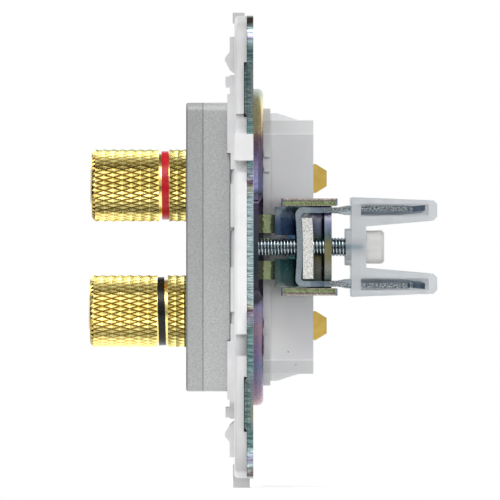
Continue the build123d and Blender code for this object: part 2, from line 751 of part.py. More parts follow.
# Claw units, one on each side of the insert
for side_name, side in (("right", 1), ("left", -1)):

    def outward(x):
        """Place along x, counted outward from the middle on this side."""
        return side * x

    with BuildPart() as claw_bracket:
        with BuildSketch(Plane.XY):
            with BuildLine():
                mid = bracket_sheet / 2
                FilletPolyline(
                    (outward(foot_outer_x - mid), pocket_floor_front),
                    (outward(foot_outer_x - mid), saddle_rear - mid),
                    (outward(bracket_inner_x + mid), saddle_rear - mid),
                    (outward(bracket_inner_x + mid), web_rear - mid),
                    (outward(web_outer_x), web_rear - mid),
                    radius=(cam_radius - mid, bracket_sheet, bracket_sheet),
                )
            trace(line_width=bracket_sheet)
        extrude(amount=saddle_half, both=True)
        with BuildSketch(Plane.XY):
            wall_middle = (saddle_rear - bracket_sheet + web_rear) / 2
            with Locations((outward(bracket_inner_x + mid), wall_middle)):
                Rectangle(bracket_sheet, web_rear - saddle_rear + bracket_sheet)
        extrude(amount=side_outer, both=True)
        for end in (1, -1):
            with BuildSketch(Plane.XY.offset(end * side_inner)):
                with Locations(
                    (
                        outward((bracket_inner_x + side_outer_x) / 2),
                        (side_front + side_rear) / 2,
                    )
                ):
                    RectangleRounded(side_outer_x - bracket_inner_x, side_rear - side_front, mid)
            extrude(amount=end * bracket_sheet)
            with BuildSketch(Plane.XY.offset(end * web_half)):
                with Locations((outward(web_outer_x), web_rear - bracket_sheet)):
                    Rectangle(
                        2 * (web_outer_x - bracket_inner_x - 2 * bracket_sheet),
                        3 * bracket_sheet,
                    )
            extrude(amount=end * (side_inner - web_half), mode=Mode.SUBTRACT)
        with BuildSketch(Plane.YZ.offset(outward(cam_x - saddle_slot_end))):
            with Locations(((pocket_floor_front + cam_y) / 2, 0)):
                Rectangle(cam_y - pocket_floor_front, 3 * saddle_half)
                for end in (1, -1):
                    with Locations((0, end * (foot_inner + foot_outer) / 2)):
                        Rectangle(
                            cam_y - pocket_floor_front,
                            foot_outer - foot_inner,
                            mode=Mode.SUBTRACT,
                        )
            with Locations((cam_y, 0)):
                Rectangle(2 * cam_radius, 2 * saddle_slot)
        extrude(amount=outward(2 * cam_radius), mode=Mode.SUBTRACT)
        with BuildSketch(facing(web_rear + bracket_sheet)):
            with Locations((outward(claw_screw_x), 0)):
                Circle(claw_screw_radius + loose_gap)
        extrude(amount=3 * bracket_sheet, mode=Mode.SUBTRACT)
    claw_bracket.part.label = f"claw_bracket_{side_name}"
    export_step(claw_bracket.part, f"parts/claw_bracket_{side_name}.step")

    with BuildPart() as claw_screw:
        with BuildSketch(facing(pocket_floor_front)):
            with Locations((outward(claw_screw_x), 0)):
                Circle(screw_head_radius)
        extrude(amount=screw_head_height)
        fillet(claw_screw.edges().group_by(Axis.Y)[0], screw_head_round)
        with BuildSketch(facing(claw_screw_tip)):
            with Locations((outward(claw_screw_x), 0)):
                Circle(claw_screw_radius)
        extrude(amount=claw_screw_tip - pocket_floor_front)
        chamfer(claw_screw.edges().group_by(Axis.Y)[-1], screw_tip_chamfer)
        with BuildSketch(facing(pocket_floor_front - screw_head_height + screw_drive_depth)):
            with Locations((outward(claw_screw_x), 0)):
                Rectangle(2 * claw_screw_radius, screw_drive_width)
                Rectangle(screw_drive_width, 2 * claw_screw_radius)
        extrude(amount=screw_head_height, mode=Mode.SUBTRACT)
    claw_screw.part.label = f"claw_screw_{side_name}"
    export_step(claw_screw.part, f"parts/claw_screw_{side_name}.step")

    with BuildPart() as nut_plate:
        inner = outward(claw_screw_x - nut_plate_inner)
        outer = outward(claw_screw_x + nut_plate_outer)
        with BuildSketch(facing(nut_plate_front + nut_plate_thickness)):
            with Locations(((inner + outer) / 2, 0)):
                Rectangle(nut_plate_inner + nut_plate_outer, 2 * nut_plate_half)
            with Locations((outward(claw_screw_x), 0)):
                Circle(claw_screw_radius + running_gap, mode=Mode.SUBTRACT)
        extrude(amount=nut_plate_thickness)
    nut_plate.part.label = f"nut_plate_{side_name}"
    export_step(nut_plate.part, f"parts/nut_plate_{side_name}.step")

    with BuildPart() as claw:
        arm_inner = claw_half - claw_sheet
        corner = claw_bend * (1 - 2**-0.5)
        with BuildSketch(Plane.YZ.offset(outward(claw_web_inner_x))):
            with BuildLine():
                Line((claw_twist_start, -claw_half), (claw_front + claw_bend, -claw_half))
                ThreePointArc(
                    (claw_front + claw_bend, -claw_half),
                    (claw_front + corner, -claw_half + corner),
                    (claw_front, -claw_half + claw_bend),
                )
                ThreePointArc(
                    (claw_front, -claw_half + claw_bend),
                    (claw_front + claw_bow, 0),
                    (claw_front, claw_half - claw_bend),
                )
                ThreePointArc(
                    (claw_front, claw_half - claw_bend),
                    (claw_front + corner, claw_half - corner),
                    (claw_front + claw_bend, claw_half),
                )
                Line((claw_front + claw_bend, claw_half), (claw_twist_start, claw_half))
                Line((claw_twist_start, claw_half), (claw_twist_start, arm_inner))
                Line((claw_twist_start, arm_inner), (claw_front + claw_bend, arm_inner))
                ThreePointArc(
                    (claw_front + claw_bend, arm_inner),
                    (claw_front + claw_sheet + corner * claw_inside, arm_inner - corner * claw_inside),
                    (claw_front + claw_sheet, claw_half - claw_bend),
                )
                ThreePointArc(
                    (claw_front + claw_sheet, claw_half - claw_bend),
                    (claw_front + claw_sheet + claw_bow, 0),
                    (claw_front + claw_sheet, -claw_half + claw_bend),
                )
                ThreePointArc(
                    (claw_front + claw_sheet, -claw_half + claw_bend),
                    (claw_front + claw_sheet + corner * claw_inside, -arm_inner + corner * claw_inside),
                    (claw_front + claw_bend, -arm_inner),
                )
                Line((claw_front + claw_bend, -arm_inner), (claw_twist_start, -arm_inner))
                Line((claw_twist_start, -arm_inner), (claw_twist_start, -claw_half))
            make_face()
        extrude(amount=outward(claw_web_outer_x - claw_web_inner_x))
        arm_middle = outward((arm_inner_x + arm_outer_x) / 2)
        arm_blank = 2 * (arm_outer_x - arm_inner_x)
        for end in (1, -1):
            twisted_depths = (claw_twist_start, claw_twist_end, claw_tip)
            for depth, twist in zip(twisted_depths, (0, claw_twist, claw_twist)):
                with BuildSketch(facing(depth)):
                    with Locations((arm_middle, end * (claw_half - claw_sheet / 2))):
                        Rectangle(arm_blank, claw_sheet, rotation=outward(end * twist))
            loft(ruled=True)
        with BuildSketch(Plane.XY):
            with BuildLine():
                neck = claw_front + claw_web_depth
                notch_end = claw_tip - tooth_length
                Polyline(
                    (outward(claw_web_inner_x), claw_front - claw_bow),
                    (outward(claw_web_outer_x), claw_front - claw_bow),
                    (outward(claw_web_outer_x), neck),
                    (outward(arm_outer_x), neck + claw_web_outer_x - arm_outer_x),
                    (outward(arm_outer_x), notch_end - notch_length),
                    (outward(arm_outer_x - notch_depth), notch_end - notch_length / 2),
                    (outward(arm_outer_x - notch_depth), notch_end),
                    (outward(arm_outer_x + tooth_reach), claw_tip),
                    (outward((arm_inner_x + arm_outer_x) / 2), claw_tip - tooth_length / 3),
                    (outward(arm_inner_x), claw_tip - 2 * tooth_length),
                    (outward(arm_inner_x), neck + arm_inner_x - claw_web_inner_x),
                    (outward(claw_web_inner_x), neck),
                    close=True,
                )
            make_face()
        extrude(amount=2 * claw_half, both=True, mode=Mode.INTERSECT)
        with BuildSketch(facing(claw_front + claw_bend)):
            with Locations((outward((claw_slot_inner_x + claw_slot_outer_x) / 2), 0)):
                SlotOverall(
                    claw_slot_outer_x - claw_slot_inner_x,
                    2 * (claw_screw_radius + loose_gap),
                )
        extrude(amount=2 * claw_bend, mode=Mode.SUBTRACT)
    claw.part.label = f"claw_{side_name}"
    export_step(claw.part, f"parts/claw_{side_name}.step")

    with BuildPart() as claw_guard:
        with BuildSketch(Plane.YZ.offset(outward(guard_inner_x))):
            with BuildLine():
                Polyline(
                    (guard_plate_front, 0),
                    (guard_plate_front, guard_half),
                    (guard_end - guard_end_corner, guard_end_half),
                    (guard_end, guard_end_half - guard_end_corner),
                    (guard_end, guard_leg_end_inner + guard_end_corner),
                    (guard_end - guard_end_corner, guard_leg_end_inner),
                    (guard_core_rear, guard_leg_inner),
                    (guard_core_rear, 0),
                    close=True,
                )
            make_face()
            mirror(about=Plane.XZ)
        extrude(amount=outward(guard_outer_x - guard_inner_x))
        with BuildSketch(Plane.YZ.offset(outward(guard_inner_x + guard_back_wall))):
            with BuildLine():
                Polyline(
                    (guard_plate_rear, guard_channel_inner),
                    (guard_plate_rear, guard_channel_outer),
                    (guard_channel_end, guard_channel_outer - guard_channel_taper),
                    (guard_channel_end, guard_channel_inner + guard_channel_taper),
                    close=True,
                )
            make_face()
            mirror(about=Plane.XZ)
        extrude(amount=outward(guard_outer_x), mode=Mode.SUBTRACT)
        slot_inner_x = guard_inner_x + guard_back_wall
        slot_outer_x = guard_outer_x - guard_strap
        with BuildSketch(facing(guard_core_rear)):
            for end in (1, -1):
                with Locations(
                    (
                        outward((slot_inner_x + slot_outer_x) / 2),
                        end * (guard_channel_inner + guard_channel_outer) / 2,
                    )
                ):
                    Rectangle(slot_outer_x - slot_inner_x, guard_channel_outer - guard_channel_inner)
        extrude(amount=guard_core_rear - guard_plate_front + mount_gap, mode=Mode.SUBTRACT)
        with BuildSketch(facing(guard_plate_front)):
            with Locations((outward(claw_screw_x), 0)):
                Circle(hub_flange_radius)
        extrude(amount=hub_flange_length)
        with BuildSketch(facing(hub_rear)):
            with Locations((outward(claw_screw_x), 0)):
                Circle(hub_radius)
        extrude(amount=hub_rear - guard_core_rear)
        chamfer(claw_guard.edges().filter_by(GeomType.CIRCLE).group_by(Axis.Y)[-1], hub_round)
        with BuildSketch(facing(guard_plate_front - hub_flange_length)):
            with Locations((outward(claw_screw_x), 0)):
                Circle(claw_screw_radius + running_gap)
        extrude(amount=-hub_bore_depth, mode=Mode.SUBTRACT)
    claw_guard.part.label = f"claw_guard_{side_name}"
    export_step(claw_guard.part, f"parts/claw_guard_{side_name}.step")
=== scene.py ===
from math import cos, floor, radians, sin, tau

import bmesh
import bpy
from mathutils import Matrix, Vector


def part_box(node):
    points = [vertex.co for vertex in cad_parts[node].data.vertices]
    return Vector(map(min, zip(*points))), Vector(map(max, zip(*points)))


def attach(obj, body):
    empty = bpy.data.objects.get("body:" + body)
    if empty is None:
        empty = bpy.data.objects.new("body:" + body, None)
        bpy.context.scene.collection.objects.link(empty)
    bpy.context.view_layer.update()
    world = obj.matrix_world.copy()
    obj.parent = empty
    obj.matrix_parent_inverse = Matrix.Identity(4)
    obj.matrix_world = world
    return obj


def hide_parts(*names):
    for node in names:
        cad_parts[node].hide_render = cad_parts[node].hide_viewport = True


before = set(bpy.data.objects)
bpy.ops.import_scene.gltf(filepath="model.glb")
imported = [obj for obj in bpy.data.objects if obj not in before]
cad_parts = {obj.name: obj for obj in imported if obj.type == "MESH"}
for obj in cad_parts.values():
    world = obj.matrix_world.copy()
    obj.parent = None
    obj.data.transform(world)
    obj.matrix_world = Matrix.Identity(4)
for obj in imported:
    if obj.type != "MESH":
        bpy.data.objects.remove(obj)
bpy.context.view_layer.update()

# Lengths are in metres, as in the frame
MM = 0.001

# Camera: a long lens, square to the side of the outlet
CAMERA_DISTANCE = 3.2
CAMERA_TARGET = (35 * MM, -0.508 * MM, -0.46 * MM)
VIEW_WIDTH = 76.92 * MM
SENSOR = 36.0
CLIP_START = 0.1
CLIP_END = 50

# The part of a noise's range that its values mostly fill
NOISE_LOW = 0.3
NOISE_HIGH = 0.7

# A face begins to count as one along an axis at the first cosine to it, and counts in full at the second
ALONG_COSINES = (0.85, 0.95)

# Studio: its light, the share of it that is left on the room's side, and the floor under the outlet
STUDIO_STRENGTH = 1.0
UNLIT_LEVEL = 0.08
FLOOR_RADIUS = 0.11
FLOOR_SEGMENTS = 64
FLOOR_GAP = 0.02 * MM
FLOOR_COLOUR = (0.86, 0.86, 0.86, 1)
FLOOR_ROUGHNESS = 0.9
FLOOR_GLOW = 0.5

# Lamps: name, place, size and power. The key is high on the camera's side, with one to each side of it,
# and a broad one lights the face of the plate.
LAMPS = (
    ("key", (0.58, -0.10, 0.68), 0.5, 2.8),
    ("room_side", (0.52, -0.62, 0.40), 0.4, 1.75),
    ("wall_side", (0.50, 0.72, 0.04), 0.4, 2.0),
    ("face", (-0.35, -0.75, 0.65), 0.7, 6.5),
)

# Claw screws: an M3 thread, behind a head that is wider than it
THREAD_CREST = 1.45 * MM
THREAD_ROOT = 1.17 * MM
THREAD_PITCH = 0.5 * MM
THREAD_CREST_SHARE = 0.14
THREAD_ROOT_SHARE = 0.2
THREAD_STEPS = 64
THREAD_TIP_CHAMFER = 0.35 * MM
HEAD_MIN_RADIUS = 1.3 * THREAD_CREST
NECK_GAP = 0.01 * MM
MERGE_DISTANCE = 0.001 * MM
SHARP_ANGLE = radians(25)

# Binding posts: their axes, and the diamond knurl where it runs out over a knob's rim
KNOB_HEIGHT = {"red": 9.58 * MM, "black": -9.98 * MM}
KNURL_STARTS = 40
KNURL_PEAK = 5.615 * MM
KNURL_VALLEY = 5.265 * MM
RIM_LENGTH = 0.55 * MM
RIM_END_RADIUS = 4.94 * MM
RIM_TOOTH_LENGTH = 0.5 * MM

# Marking rings and nut plates as they sit
RING_LEAN = {"red": radians(0.6), "black": radians(1.6)}
NUT_BOW = 0.18 * MM
NUT_DROP = 0.2 * MM
NUT_BOW_STEPS = 6

# Windows in the white rim: (height, width), and the outline of the step in each, as (x, y)
RIM_WINDOWS = ((-10.9 * MM, 1.8 * MM), (-0.25 * MM, 5.7 * MM), (10.9 * MM, 2.2 * MM))
WINDOW_STEP = (
    (21.1 * MM, -3.50 * MM),
    (21.9 * MM, -3.50 * MM),
    (21.9 * MM, -3.22 * MM),
    (23.3 * MM, -3.22 * MM),
    (23.3 * MM, -2.91 * MM),
    (21.1 * MM, -2.91 * MM),
)
WINDOW_GAP = 0.02 * MM


# Node helpers
def new_material(name):
    """A material with a Principled shader: returns the material, its tree and the shader."""
    material = bpy.data.materials.new(name)
    material.use_nodes = True
    tree = material.node_tree
    return material, tree, tree.nodes["Principled BSDF"]


def add(tree, kind, **settings):
    """A new node with its properties set."""
    made = tree.nodes.new(kind)
    for name, value in settings.items():
        setattr(made, name, value)
    return made


def object_place(tree):
    """The place on the object, in metres."""
    return add(tree, "ShaderNodeTexCoord").outputs["Object"]


def noise(tree, size, detail=3.0, rough=0.55, stretch=(1, 1, 1), distortion=0.0):
    """Noise whose features are about size metres across, divided by stretch along each axis."""
    scaled = add(tree, "ShaderNodeMapping")
    scaled.inputs["Scale"].default_value = [1 / (size * s) for s in stretch]
    texture = add(tree, "ShaderNodeTexNoise")
    texture.inputs["Scale"].default_value = 1.0
    texture.inputs["Detail"].default_value = detail
    texture.inputs["Roughness"].default_value = rough
    texture.inputs["Distortion"].default_value = distortion
    tree.links.new(object_place(tree), scaled.inputs["Vector"])
    tree.links.new(scaled.outputs["Vector"], texture.inputs["Vector"])
    return texture.outputs["Fac"]


def ramp(tree, value, *stops):
    """A colour ramp: stops are (position, colour)."""
    made = add(tree, "ShaderNodeValToRGB")
    elements = made.color_ramp.elements
    while len(elements) < len(stops):
        elements.new(0.5)
    for element, (position, colour) in zip(elements, stops):
        element.position = position
        element.color = (*colour, 1)
    tree.links.new(value, made.inputs["Fac"])
    return made.outputs["Color"]


def greys(*stops):
    """Ramp stops of plain greys: (place, level)."""
    return [(place, (level, level, level)) for place, level in stops]


def span(tree, value, low, high, to_low, to_high):
    """value mapped from low..high to to_low..to_high, and held at the ends."""
    made = add(tree, "ShaderNodeMapRange")
    made.inputs["From Min"].default_value = low
    made.inputs["From Max"].default_value = high
    made.inputs["To Min"].default_value = to_low
    made.inputs["To Max"].default_value = to_high
    tree.links.new(value, made.inputs["Value"])
    return made.outputs["Result"]


def mix(tree, share, first, second):
    """Two colours mixed by share."""
    made = add(tree, "ShaderNodeMix", data_type="RGBA")
    tree.links.new(share, made.inputs["Factor"])
    tree.links.new(first, made.inputs["A"])
    tree.links.new(second, made.inputs["B"])
    return made.outputs["Result"]


def tint(tree, colour, factor):
    """A colour multiplied by another."""
    made = add(tree, "ShaderNodeMix", data_type="RGBA", blend_type="MULTIPLY")
    made.inputs["Factor"].default_value = 1.0
    tree.links.new(colour, made.inputs["A"])
    tree.links.new(factor, made.inputs["B"])
    return made.outputs["Result"]


def bump(tree, shader, height, strength, distance):
    """Relief on a shader's normal."""
    made = add(tree, "ShaderNodeBump")
    made.inputs["Strength"].default_value = strength
    made.inputs["Distance"].default_value = distance
    tree.links.new(height, made.inputs["Height"])
    tree.links.new(made.outputs["Normal"], shader.inputs["Normal"])


def uneven_gloss(tree, shader, size, low, high):
    """Roughness that wanders between low and high over patches of a size."""
    gloss = span(tree, noise(tree, size), NOISE_LOW, NOISE_HIGH, low, high)
    tree.links.new(gloss, shader.inputs["Roughness"])


def axis_place(tree, axis):
    """Where a place is along an axis, in metres."""
    parts = add(tree, "ShaderNodeSeparateXYZ")
    tree.links.new(object_place(tree), parts.inputs["Vector"])
    return parts.outputs[axis]


def absolute(tree, value):
    """value without its sign."""
    made = add(tree, "ShaderNodeMath", operation="ABSOLUTE")
    tree.links.new(value, made.inputs[0])
    return made.outputs["Value"]


def axis_distance(tree, axis):
    """How far a place is from the middle plane across an axis, in metres."""
    return absolute(tree, axis_place(tree, axis))


def faces_along(tree, axis):
    """1 on faces that look along an axis, and 0 on the others."""
    parts = add(tree, "ShaderNodeSeparateXYZ")
    tree.links.new(add(tree, "ShaderNodeNewGeometry").outputs["Normal"], parts.inputs["Vector"])
    return span(tree, absolute(tree, parts.outputs[axis]), *ALONG_COSINES, 0, 1)


def cut_face(tree):
    """1 on faces that look along x, where the sheet was cut, and 0 on the others."""
    return faces_along(tree, "X")


def untinted(tree):
    """White, the factor that leaves a colour as it is."""
    made = add(tree, "ShaderNodeRGB")
    made.outputs["Color"].default_value = (1, 1, 1, 1)
    return made.outputs["Color"]


def place_ramp(tree, value, low, high, *stops):
    """A colour ramp over places from low to high: stops are (place, colour), all in metres."""
    share = span(tree, value, low, high, 0, 1)
    return ramp(tree, share, *(((place - low) / (high - low), colour) for place, colour in stops))


def product(tree, first, second):
    """first times second."""
    made = add(tree, "ShaderNodeMath", operation="MULTIPLY")
    tree.links.new(first, made.inputs[0])
    tree.links.new(second, made.inputs[1])
    return made.outputs["Value"]


def radius_about(tree, across, upright):
    """How far a place is from an axis, given how far across and how far above the axis it is."""
    both = add(tree, "ShaderNodeCombineXYZ")
    tree.links.new(across, both.inputs["X"])
    tree.links.new(upright, both.inputs["Z"])
    length = add(tree, "ShaderNodeVectorMath", operation="LENGTH")
    tree.links.new(both.outputs["Vector"], length.inputs[0])
    return length.outputs["Value"]


def less(tree, value, amount):
    """value less a fixed amount."""
    made = add(tree, "ShaderNodeMath", operation="SUBTRACT")
    made.inputs[1].default_value = amount
    tree.links.new(value, made.inputs[0])
    return made.outputs["Value"]


def shaken(tree, value, texture, reach):
    """A place moved by up to reach with a noise, so that what it drives has an uneven border."""
    made = add(tree, "ShaderNodeMath", operation="MULTIPLY_ADD")
    tree.links.new(span(tree, texture, NOISE_LOW, NOISE_HIGH, -1, 1), made.inputs[0])
    made.inputs[1].default_value = reach
    tree.links.new(value, made.inputs[2])
    return made.outputs["Value"]


def colour_link(tree, colour, shader):
    """Makes colour the shader's base colour."""
    tree.links.new(colour, shader.inputs["Base Color"])


# Materials
def gold_material():
    """Bright gold plate: smooth, with fine machining marks."""
    material, tree, shader = new_material("gold_plate")
    shader.inputs["Metallic"].default_value = 1.0
    tone = noise(tree, 1.2 * MM)
    colour = ramp(tree, tone, (NOISE_LOW, (0.88, 0.66, 0.20)), (NOISE_HIGH, (0.97, 0.77, 0.27)))
    colour_link(tree, colour, shader)
    uneven_gloss(tree, shader, 0.5 * MM, 0.10, 0.20)
    bump(tree, shader, noise(tree, 0.10 * MM), 0.12, 0.02 * MM)
    return material


def knob_material(name, height, front):
    """Bright gold plate on a knob, with painted shade in the knurl's valleys and round its front rim, and
    painted highlights on the knurl's peaks.

    The knob's axis is at z = height, and its front end is at y = front.
    """
    material, tree, shader = new_material(name)
    shader.inputs["Metallic"].default_value = 1.0
    radius = radius_about(tree, axis_place(tree, "X"), less(tree, axis_place(tree, "Z"), height))
    patches = noise(tree, 0.7 * MM)
    tone = ramp(tree, patches, (NOISE_LOW, (0.90, 0.68, 0.21)), (NOISE_HIGH, (1.0, 0.84, 0.34)))
    # Painted shade darkens the knurl's valleys and painted highlights brighten its peaks, by distance
    # from the knob's axis.
    groove_shade_and_crest_highlight = place_ramp(
        tree,
        radius,
        5.20 * MM,
        5.62 * MM,
        (5.20 * MM, (1, 1, 1)),
        (5.255 * MM, (1, 1, 1)),
        (5.27 * MM, (0.16, 0.13, 0.07)),
        (5.33 * MM, (0.60, 0.55, 0.43)),
        (5.42 * MM, (1.12, 1.12, 1.12)),
        (5.60 * MM, (1.35, 1.37, 1.6)),
    )
    # Painted shade round the knob's front rim, on its chamfer.
    rim = place_ramp(
        tree,
        axis_place(tree, "Y"),
        front,
        front + 1.0 * MM,
        (front + 0.01 * MM, (1, 1, 1)),
        (front + 0.02 * MM, (0.28, 0.24, 0.16)),
        (front + 0.20 * MM, (0.40, 0.36, 0.26)),
        (front + 0.50 * MM, (0.80, 0.76, 0.66)),
        (front + 0.65 * MM, (1, 1, 1)),
    )
    colour_link(tree, tint(tree, tint(tree, tone, groove_shade_and_crest_highlight), rim), shader)
    uneven_gloss(tree, shader, 0.5 * MM, 0.16, 0.30)
    bump(tree, shader, noise(tree, 0.32 * MM, detail=4.0, rough=0.65), 0.55, 0.06 * MM)
    return material


def flat_gold_material():
    """Gold flashed over stamped sheet: duller than the turned parts."""
    material, tree, shader = new_material("gold_tab")
    shader.inputs["Metallic"].default_value = 1.0
    tone = noise(tree, 0.9 * MM)
    colour = ramp(tree, tone, (NOISE_LOW, (0.86, 0.58, 0.13)), (NOISE_HIGH, (0.94, 0.67, 0.18)))
    colour_link(tree, colour, shader)
    uneven_gloss(tree, shader, 0.3 * MM, 0.30, 0.42)
    bump(tree, shader, noise(tree, 0.15 * MM), 0.2, 0.02 * MM)
    return material


def ticks(tree):
    """Short marks across a sheared edge, about four to a millimetre of its length."""
    return noise(tree, 0.24 * MM, detail=2.0, rough=0.6, stretch=(8, 8, 1))


def film_colour(tree):
    """The interference colours of passivated zinc, drifting from olive through teal to violet."""
    drift = noise(tree, 16 * MM, detail=3.0, distortion=1.0)
    return ramp(
        tree,
        drift,
        (0.28, (0.42, 0.40, 0.26)),
        (0.42, (0.34, 0.40, 0.36)),
        (0.52, (0.30, 0.35, 0.41)),
        (0.62, (0.34, 0.30, 0.40)),
        (0.74, (0.46, 0.40, 0.40)),
    )


def frame_edge_gap_shadows(tree):
    """Painted shadow lines along the cut edge of the support frame, in the gaps where it meets the white
    frame: its front border, and one further back.
    """
    return place_ramp(
        tree,
        axis_place(tree, "Y"),
        -1.5 * MM,
        0,
        *greys(
            (-1.42 * MM, 0.25),
            (-1.30 * MM, 0.30),
            (-1.24 * MM, 1.0),
            (-1.02 * MM, 0.9),
            (-1.00 * MM, 0.35),
            (-0.94 * MM, 0.45),
            (-0.88 * MM, 1.0),
        ),
    )


def frame_edge_colour(tree):
    """The cut edge of the support frame: teal, with violet stretches and fine ticks, painted highlights
    on its brighter stretches, painted shade at its dark rounded ends, and painted shadow lines in its
    gaps.
    """
    height = shaken(tree, axis_distance(tree, "Z"), noise(tree, 1.5 * MM), 0.4 * MM)
    # Painted reflection mixed into the film's own colours: the pale middle and the pale spots near 9 mm
    # and from 31 to 33.5 mm out are painted highlights, and the dark ends past 34 mm are painted shade.
    drift = place_ramp(
        tree,
        height,
        0,
        36 * MM,
        (0.0, (0.64, 0.84, 0.86)),
        (8.0 * MM, (0.64, 0.84, 0.88)),
        (9.2 * MM, (0.76, 0.80, 0.60)),
        (9.8 * MM, (0.28, 0.14, 0.20)),
        (10.8 * MM, (0.64, 0.64, 0.80)),
        (12.2 * MM, (0.26, 0.42, 0.42)),
        (18.4 * MM, (0.24, 0.42, 0.40)),
        (20.0 * MM, (0.26, 0.34, 0.35)),
        (26.5 * MM, (0.22, 0.33, 0.33)),
        (30.4 * MM, (0.15, 0.26, 0.26)),
        (31.4 * MM, (0.36, 0.50, 0.50)),
        (32.6 * MM, (0.34, 0.30, 0.46)),
        (33.4 * MM, (0.42, 0.52, 0.54)),
        (34.6 * MM, (0.10, 0.07, 0.06)),
    )
    lit = ramp(
        tree,
        ticks(tree),
        (0.38, (0.45, 0.48, 0.48)),
        (0.50, (0.85, 0.87, 0.87)),
        (0.62, (1.35, 1.35, 1.35)),
    )
    return tint(tree, tint(tree, drift, frame_edge_gap_shadows(tree)), lit)


def dish_wall_colour(tree):
    """The drawn wall of the dish: olive on top with a painted cream highlight, then violet and blue, with
    painted shade by the claws, violet below.
    """
    height = shaken(tree, axis_place(tree, "Z"), noise(tree, 3 * MM), 0.8 * MM)
    # Painted reflection down the round wall: the cream stop near 22 mm is a painted highlight, and the
    # dark stops about 8 mm either side of the middle are painted shade by the claws.
    return place_ramp(
        tree,
        height,
        -25 * MM,
        25 * MM,
        (-24.6 * MM, (0.42, 0.22, 0.30)),
        (-22.0 * MM, (0.24, 0.15, 0.24)),
        (-19.0 * MM, (0.12, 0.14, 0.25)),
        (-15.0 * MM, (0.20, 0.13, 0.22)),
        (-12.5 * MM, (0.22, 0.15, 0.20)),
        (-9.6 * MM, (0.16, 0.15, 0.25)),
        (-8.2 * MM, (0.03, 0.03, 0.04)),
        (-6.0 * MM, (0.10, 0.08, 0.12)),
        (-3.0 * MM, (0.05, 0.07, 0.09)),
        (3.0 * MM, (0.10, 0.11, 0.15)),
        (6.0 * MM, (0.12, 0.09, 0.15)),
        (8.2 * MM, (0.03, 0.03, 0.05)),
        (9.2 * MM, (0.10, 0.11, 0.20)),
        (13.0 * MM, (0.12, 0.10, 0.18)),
        (16.6 * MM, (0.20, 0.13, 0.18)),
        (18.4 * MM, (0.70, 0.54, 0.32)),
        (22.0 * MM, (1.0, 0.90, 0.46)),
        (24.2 * MM, (0.56, 0.64, 0.54)),
    )


def steel_material():
    """Passivated zinc on the support frame: film on the flats, a duller cut edge, a drawn dish wall."""
    material, tree, shader = new_material("zinc_steel")
    shader.inputs["Metallic"].default_value = 0.85
    outer = span(tree, axis_distance(tree, "X"), 32.6 * MM, 33.0 * MM, 0, 1)
    edge = product(tree, span(tree, faces_along(tree, "Y"), 0, 1, 1, 0), outer)
    raised = span(tree, axis_place(tree, "Y"), 0.02 * MM, 0.06 * MM, 0, 1)
    body = mix(tree, raised, film_colour(tree), dish_wall_colour(tree))
    colour_link(tree, mix(tree, edge, body, frame_edge_colour(tree)), shader)
    uneven_gloss(tree, shader, 0.5 * MM, 0.22, 0.38)
    bump(tree, shader, noise(tree, 0.3 * MM, stretch=(4, 4, 1)), 0.25, 0.03 * MM)
    return material


def bracket_foot_colour(tree):
    """The feet of a bracket: a smooth yellow-green middle between dark borders with ragged edges, which
    are painted shade where the sheet bends at its root and towards the saddle.
    """
    across = shaken(tree, axis_place(tree, "Y"), noise(tree, 0.5 * MM, detail=4.0), 0.16 * MM)
    # The dark stops at both borders are painted shade at the bends.
    smooth = place_ramp(
        tree,
        across,
        0,
        4 * MM,
        (0.9 * MM, (0.12, 0.13, 0.07)),
        (1.45 * MM, (0.06, 0.07, 0.04)),
        (1.65 * MM, (0.42, 0.49, 0.26)),
        (2.60 * MM, (0.38, 0.48, 0.28)),
        (2.80 * MM, (0.08, 0.10, 0.05)),
        (3.25 * MM, (0.02, 0.03, 0.02)),
    )
    specks = noise(tree, 0.16 * MM, detail=3.0, rough=0.7)
    grain = ramp(tree, specks, (0.42, (0.75, 0.75, 0.70)), (0.52, (1, 1, 1)), (0.66, (1.6, 1.5, 1.2)))
    return tint(tree, smooth, grain)


def bracket_saddle_colour(tree):
    """The saddle of a bracket: navy above, dark green below, with painted highlights at both ends and
    painted light growing round its crown.
    """
    height = shaken(tree, axis_place(tree, "Z"), noise(tree, 2.5 * MM), 0.6 * MM)
    # Painted light: up to three times brighter towards the crown, in place of the light that the recess
    # between the side walls holds back.
    crown_painted_light = place_ramp(
        tree,
        axis_place(tree, "Y"),
        3.4 * MM,
        6.4 * MM,
        *greys((3.5 * MM, 0.8), (4.6 * MM, 1), (6.2 * MM, 3.0)),
    )
    # The paler stops near both ends are painted highlights.
    film = place_ramp(
        tree,
        height,
        -6.3 * MM,
        6.3 * MM,
        (-6.2 * MM, (0.30, 0.36, 0.33)),
        (-5.4 * MM, (0.14, 0.22, 0.20)),
        (-3.0 * MM, (0.06, 0.16, 0.14)),
        (-1.0 * MM, (0.05, 0.13, 0.14)),
        (1.0 * MM, (0.05, 0.11, 0.17)),
        (3.0 * MM, (0.07, 0.13, 0.24)),
        (4.2 * MM, (0.16, 0.24, 0.36)),
        (5.2 * MM, (0.38, 0.46, 0.52)),
        (6.2 * MM, (0.14, 0.20, 0.24)),
    )
    return tint(tree, film, crown_painted_light)


